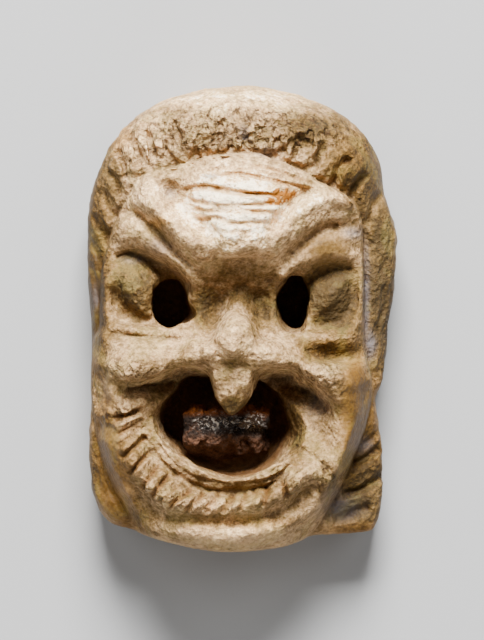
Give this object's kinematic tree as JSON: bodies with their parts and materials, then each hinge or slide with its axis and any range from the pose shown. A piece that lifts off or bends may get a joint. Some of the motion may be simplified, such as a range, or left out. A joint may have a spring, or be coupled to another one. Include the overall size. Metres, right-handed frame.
{
  "type": "theatre mask",
  "caption": "Miniature carved stone comic theatre mask, flat at the back, with drilled eyes and the corroded stub of an iron bar held in its wide open mouth.",
  "frame": {"origin": "on the flat back plane, under the middle of the mask's outline", "axes": "the mask lies on its back: +Y towards the crown, +X to the viewer's right, +Z out of the face"},
  "size_m": [0.0312, 0.0468, 0.0199],
  "materials": {
    "weathered_stone": "cream stone, waxy where it is thin, chalky and pitted where it is weathered, with brown earth in the hollows",
    "corroded_iron": "black-brown corroded iron with orange rust and small glossy crystals"
  },
  "bodies": {
    "root": {"mask": "weathered_stone", "iron_stub": "corroded_iron"}
  },
  "joints": []
}
